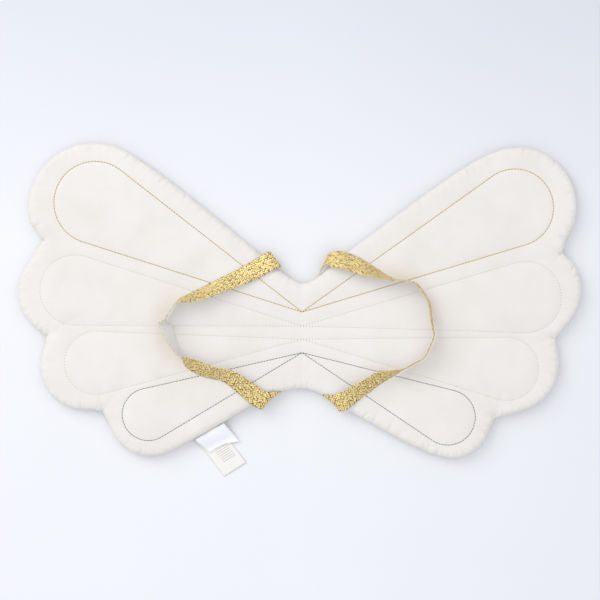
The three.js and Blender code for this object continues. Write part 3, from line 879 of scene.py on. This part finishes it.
def add_label(name, body, material):
    """A thin label, sewn into the seam or lying on the other label and moving with it."""
    facts = LABELS[name]
    along_steps, across_steps = 36, 18
    points, uv = label_points(facts, along_steps, across_steps)
    faces, _ = ribbon_faces(along_steps, across_steps, turned=True)
    label = make_object(name + "_cloth", points, faces, material)
    add_weave(label, uv)
    if facts["sewn_to"]:
        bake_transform(label)
    else:
        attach(label, body)
    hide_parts(name)


# ---- materials ----

class Nodes:
    """A new material's nodes, with short calls to add and join them."""

    def __init__(self, name):
        self.material = bpy.data.materials.new(name)
        self.material.use_nodes = True
        self.tree = self.material.node_tree
        self.shader = self.tree.nodes["Principled BSDF"]

    def add(self, kind, **settings):
        """A node with its properties and its inputs' values set by name."""
        node = self.tree.nodes.new("ShaderNode" + kind)
        for key, value in settings.items():
            if hasattr(node, key):
                setattr(node, key, value)
            else:
                node.inputs[key.replace("_", " ")].default_value = value
        return node

    def join(self, output, target):
        self.tree.links.new(output, target)

    def place(self):
        """Where a point is on the object, in metres."""
        return self.add("TexCoord").outputs["Object"]

    def weave(self):
        """Where a point is on a ribbon that was laid flat."""
        return self.add("UVMap", uv_map="weave").outputs["UV"]

    def paint(self, colour):
        """Makes a varying colour the surface's own."""
        self.join(colour, self.shader.inputs["Base Color"])

    def texture(self, kind, vector, **settings):
        """A texture that is laid out by vector."""
        node = self.add("Tex" + kind, **settings)
        self.join(vector, node.inputs["Vector"])
        return node

    def multiply(self, a, b):
        """Two varying numbers multiplied."""
        node = self.add("Math", operation="MULTIPLY")
        self.join(a, node.inputs[0])
        self.join(b, node.inputs[1])
        return node.outputs["Value"]

    def multiply_colours(self, a, b):
        """Two varying colours multiplied."""
        node = self.add("Mix", data_type="RGBA", blend_type="MULTIPLY")
        node.inputs["Factor"].default_value = 1.0
        self.join(a, node.inputs["A"])
        self.join(b, node.inputs["B"])
        return node.outputs["Result"]

    def ramp(self, source, stops):
        """Turns a number into a colour by (position, colour) stops, in rising order."""
        node = self.add("ValToRGB")
        elements = node.color_ramp.elements
        elements[0].position, elements[1].position = stops[0][0], stops[-1][0]
        for position, _ in stops[1:-1]:
            elements.new(position)
        for element, (_, colour) in zip(elements, stops):
            element.color = (*colour, 1)
        self.join(source, node.inputs["Fac"])
        return node.outputs["Color"]

    def scaled(self, vector, scale):
        """The vector multiplied by a scale for each axis."""
        node = self.add("Mapping")
        node.inputs["Scale"].default_value = scale
        self.join(vector, node.inputs["Vector"])
        return node.outputs["Vector"]

    def bump(self, heights):
        """Adds up bumps from (output, strength, distance in metres)."""
        before = None
        for output, strength, distance in heights:
            node = self.add("Bump", Strength=strength, Distance=distance)
            self.join(output, node.inputs["Height"])
            if before is not None:
                self.join(before, node.inputs["Normal"])
            before = node.outputs["Normal"]
        self.join(before, self.shader.inputs["Normal"])

    def set(self, **values):
        """Sets the shader's own values by name."""
        for key, value in values.items():
            self.shader.inputs[key.replace("_", " ")].default_value = value


def cotton_material():
    """Off-white cotton: a fine plain weave, with slubs and a faint unevenness of colour."""
    m = Nodes("cotton")
    place = m.place()
    cloudy = m.texture("Noise", place, Scale=22.0, Detail=3.0, Roughness=0.55)
    m.paint(m.ramp(cloudy.outputs["Fac"], [
        (0.3, (0.785, 0.74, 0.695)),
        (0.7, (0.825, 0.785, 0.745)),
    ]))
    threads = []
    for axis in ("X", "Y"):
        wave = m.texture("Wave", place, wave_type="BANDS", bands_direction=axis, Scale=420.0,
                         Distortion=1.6, Detail=2.0, Detail_Scale=3.0)
        threads.append(wave.outputs["Fac"])
    weave = m.add("Math", operation="MAXIMUM")
    m.join(threads[0], weave.inputs[0])
    m.join(threads[1], weave.inputs[1])
    slubs = m.texture("Noise", m.scaled(place, (90, 900, 90)), Scale=1.0, Detail=2.0)
    soft = m.texture("Noise", place, Scale=55.0, Detail=4.0)
    m.bump([
        (soft.outputs["Fac"], 0.2, 0.0012),
        (slubs.outputs["Fac"], 0.25, 0.0003),
        (weave.outputs["Value"], 0.35, 0.00018),
    ])
    m.set(Roughness=0.92, Sheen_Weight=0.15, Sheen_Roughness=0.6, Specular_IOR_Level=0.25)
    return m.material


def wadding_material():
    """White polyester fleece."""
    m = Nodes("wadding")
    place = m.place()
    fibres = m.texture("Noise", place, Scale=260.0, Detail=5.0, Roughness=0.7)
    m.paint(m.ramp(fibres.outputs["Fac"], [(0.3, (0.84, 0.84, 0.84)), (0.7, (0.93, 0.93, 0.93))]))
    m.bump([(fibres.outputs["Fac"], 0.6, 0.001)])
    m.set(Roughness=1.0, Sheen_Weight=0.3)
    return m.material


def thread_material(name, colour):
    """Spun thread: a light twist across it and a slight unevenness of colour."""
    m = Nodes(name)
    place = m.place()
    uneven = m.texture("Noise", place, Scale=700.0, Detail=2.0)
    dark = tuple(c * 0.8 for c in colour)
    light = tuple(min(1, c * 1.12) for c in colour)
    m.paint(m.ramp(uneven.outputs["Fac"], [(0.35, dark), (0.65, light)]))
    twist = m.texture("Wave", place, wave_type="BANDS", bands_direction="DIAGONAL", Scale=900.0,
                      Distortion=1.0)
    m.bump([(twist.outputs["Fac"], 0.4, 0.0001)])
    m.set(Roughness=0.6, Sheen_Weight=0.2)
    return m.material


def elastic_ribs(m, uv):
    """The fine ribs that run along a strap, the same on both of its sides."""
    return m.texture("Wave", uv, wave_type="BANDS", bands_direction="X", Scale=0.42, Distortion=0.6)


def glitter_material():
    """Gold lurex elastic: close diagonal rows of metallic loops, with painted light and shade over each
    loop: pale at its middle, painted shade in the gaps between them.
    """
    m = Nodes("glitter_elastic")
    uv = m.weave()
    turned = m.add("Mapping")
    turned.inputs["Rotation"].default_value = (0, 0, math.radians(38))
    turned.inputs["Scale"].default_value = (0.5, 0.5, 1)
    m.join(uv, turned.inputs["Vector"])
    loops = m.texture("Voronoi", turned.outputs["Vector"], voronoi_dimensions="2D", feature="F1",
                      Scale=1.0, Randomness=0.45)
    tone = m.add("SeparateColor")
    m.join(loops.outputs["Color"], tone.inputs["Color"])
    # Painted light and shade over the loops' relief: each loop pale at its middle, darkening to near
    # black in the gaps between loops.
    depth = m.ramp(loops.outputs["Distance"], [
        (0.18, (1.0, 0.91, 0.54)),
        (0.4, (1.0, 0.76, 0.28)),
        (0.52, (0.56, 0.33, 0.06)),
        (0.64, (0.08, 0.04, 0.008)),
    ])
    spark = m.ramp(tone.outputs["Red"], [
        (0.0, (0.66, 0.63, 0.58)),
        (0.35, (0.9, 0.88, 0.85)),
        (1.0, (1.0, 1.0, 1.0)),
    ])
    m.paint(m.multiply_colours(depth, spark))
    shine = m.ramp(tone.outputs["Green"], [(0.2, (0.5, 0.5, 0.5)), (0.9, (0.28, 0.28, 0.28))])
    m.join(shine, m.shader.inputs["Roughness"])
    ribs = elastic_ribs(m, uv)
    m.bump([
        (tone.outputs["Blue"], 0.5, 0.0004),
        (loops.outputs["Distance"], -0.6, 0.0005),
        (ribs.outputs["Fac"], 0.35, 0.0004),
    ])
    m.set(Metallic=0.4, Specular_IOR_Level=0.5)
    return m.material


def elastic_back_material():
    """The straps' pale inner side, with a fleck of gold showing through here and there."""
    m = Nodes("elastic_back")
    uv = m.weave()
    flecks = m.texture("Voronoi", m.scaled(uv, (1.3, 1.0, 1)), feature="F1", Scale=1.0,
                       Randomness=0.9)
    tone = m.add("SeparateColor")
    m.join(flecks.outputs["Color"], tone.inputs["Color"])
    m.paint(m.ramp(tone.outputs["Red"], [
        (0.0, (0.78, 0.75, 0.72)),
        (0.85, (0.86, 0.83, 0.81)),
        (1.0, (0.8, 0.7, 0.5)),
    ]))
    ribs = elastic_ribs(m, uv)
    m.bump([(flecks.outputs["Distance"], 0.4, 0.0003), (ribs.outputs["Fac"], 0.35, 0.0003)])
    m.set(Roughness=0.8)
    return m.material


def satin_material():
    """Blank white satin ribbon."""
    m = Nodes("label_satin")
    uv = m.weave()
    rows = m.texture("Noise", m.scaled(uv, (8, 220, 1)), Scale=1.0, Detail=2.0)
    m.paint(m.ramp(rows.outputs["Fac"], [(0.3, (0.86, 0.855, 0.875)), (0.7, (0.92, 0.915, 0.93))]))
    m.bump([(rows.outputs["Fac"], 0.2, 0.0001)])
    m.set(Roughness=0.38, Sheen_Weight=0.2)
    return m.material


def care_material():
    """Cream label tape with plain grey rules across it, past where the white label covers it."""
    m = Nodes("care_label_tape")
    uv = m.weave()
    parts = m.add("SeparateXYZ")
    m.join(uv, parts.inputs["Vector"])
    rules = m.texture("Wave", uv, wave_type="BANDS", bands_direction="Y", wave_profile="SIN", Scale=6.6)
    ink = m.ramp(rules.outputs["Fac"], [(0.72, (0, 0, 0)), (0.86, (1, 1, 1))])
    for axis, start, end in (("X", 0.3, 0.86), ("Y", 0.4, 0.76)):
        for low, high in ((start, start + 0.01), (end, end - 0.01)):
            part = m.add("MapRange", clamp=True, From_Min=low, From_Max=high)
            m.join(parts.outputs[axis], part.inputs["Value"])
            ink = m.multiply(ink, part.outputs["Result"])
    m.paint(m.ramp(ink, [(0.0, (0.85, 0.82, 0.77)), (1.0, (0.56, 0.55, 0.52))]))
    weave = m.texture("Noise", m.scaled(uv, (160, 260, 1)), Scale=1.0, Detail=2.0)
    m.bump([(weave.outputs["Fac"], 0.3, 0.0001)])
    m.set(Roughness=0.7)
    return m.material


def floor_material():
    """A matt, pale, slightly blue table top, with painted shade that deepens its tone a little to the
    right and the top, where the light falls off.
    """
    m = Nodes("floor")
    place = m.place()
    parts = m.add("SeparateXYZ")
    m.join(place, parts.inputs["Vector"])
    painted_shade_tones = []
    # Painted shade: the floor's colour darkens along X and along Y, standing in for the light's
    # fall-off.
    painted_falloffs = [("X", 0.0, 0.33, (0.95, 0.95, 0.95)), ("Y", 0.08, 0.33, (0.865, 0.875, 0.9))]
    for axis, near, far, shaded_tone in painted_falloffs:
        share = m.add("MapRange", clamp=True, From_Min=near, From_Max=far)
        m.join(parts.outputs[axis], share.inputs["Value"])
        painted_shade_tones.append(m.ramp(share.outputs["Result"], [(0.0, (1, 1, 1)), (1.0, shaded_tone)]))
    grain = m.texture("Noise", place, Scale=6.0, Detail=2.0)
    colour = m.ramp(grain.outputs["Fac"], [(0.3, (0.822, 0.82, 0.838)), (0.7, (0.832, 0.83, 0.848))])
    for tone in painted_shade_tones:
        colour = m.multiply_colours(colour, tone)
    m.paint(colour)
    m.set(Roughness=0.9, Specular_IOR_Level=0.1)
    return m.material


# ---- stage ----

def add_camera():
    """A camera that looks straight down."""
    lens, sensor = 85.0, 36.0
    data = bpy.data.cameras.new("camera")
    data.lens = lens
    data.sensor_width = sensor
    data.clip_start = 0.1
    data.clip_end = 20
    camera = bpy.data.objects.new("camera", data)
    camera.location = Vector((*VIEW_CENTRE, MIDDLE + VIEW_WIDTH * lens / sensor)) * MM
    bpy.context.scene.collection.objects.link(camera)
    bpy.context.scene.camera = camera


def add_area_light(name, location, size, power, colour):
    """A square soft light that points at the middle of the wings. Its place and size are in
    metres."""
    data = bpy.data.lights.new(name, "AREA")
    data.shape = "SQUARE"
    data.size = size
    data.energy = power
    data.color = colour
    light = bpy.data.objects.new(name, data)
    light.location = location
    light.rotation_mode = "QUATERNION"
    light.rotation_quaternion = (-Vector(location)).to_track_quat("-Z", "Y")
    bpy.context.scene.collection.objects.link(light)


def add_stage():
    """The table top, and a large soft light from the upper left."""
    half = 6000.0
    corners = [(x * half, y * half, -FLOOR_DROP) for x, y in ((-1, -1), (1, -1), (1, 1), (-1, 1))]
    floor = make_object("floor", corners, [(0, 1, 2, 3)], floor_material())
    add_area_light("key", location=(-1.65, 1.45, 1.75), size=1.7, power=23, colour=(1.0, 0.985, 0.96))
    bpy.context.scene.view_settings.view_transform = "Standard"


def add_sky():
    """Soft light from all round, stronger from above than from the sides."""
    world = bpy.data.worlds.new("studio")
    world.use_nodes = True
    tree = world.node_tree
    direction = tree.nodes.new("ShaderNodeTexCoord").outputs["Generated"]
    parts = tree.nodes.new("ShaderNodeSeparateXYZ")
    shade = tree.nodes.new("ShaderNodeValToRGB")
    low, high = shade.color_ramp.elements
    low.color = (0.35, 0.36, 0.375, 1)
    high.color = (0.93, 0.96, 1.0, 1)
    background = tree.nodes["Background"]
    background.inputs["Strength"].default_value = 1.265
    tree.links.new(direction, parts.inputs["Vector"])
    tree.links.new(parts.outputs["Z"], shade.inputs["Fac"])
    tree.links.new(shade.outputs["Color"], background.inputs["Color"])
    bpy.context.scene.world = world


# ---- the whole ----

add_camera()
add_stage()
add_sky()

cotton = cotton_material()
layout_points, layout_faces = cover_layout()
covers = [add_cover(face, layout_points, layout_faces, cotton) for face in ("front", "back")]
# Each is a blank of 617 x 350 mm, cut to the wings' outline with its seam allowance
add_wadding(wadding_material())

for colour, (tint, radius, shown) in THREADS.items():
    material = thread_material(f"{colour}_thread", tint)
    for face in ("front", "back"):
        add_quilting(colour, face, radius, shown, material)
add_seam_stitches(thread_material("seam_thread", (0.82, 0.8, 0.77)))

gold, pale = glitter_material(), elastic_back_material()
for side in SIDES:
    add_strap(side, gold, pale)

add_label("care_label", "care_label_flap", care_material())
add_label("brand_label", "brand_label_flap", satin_material())
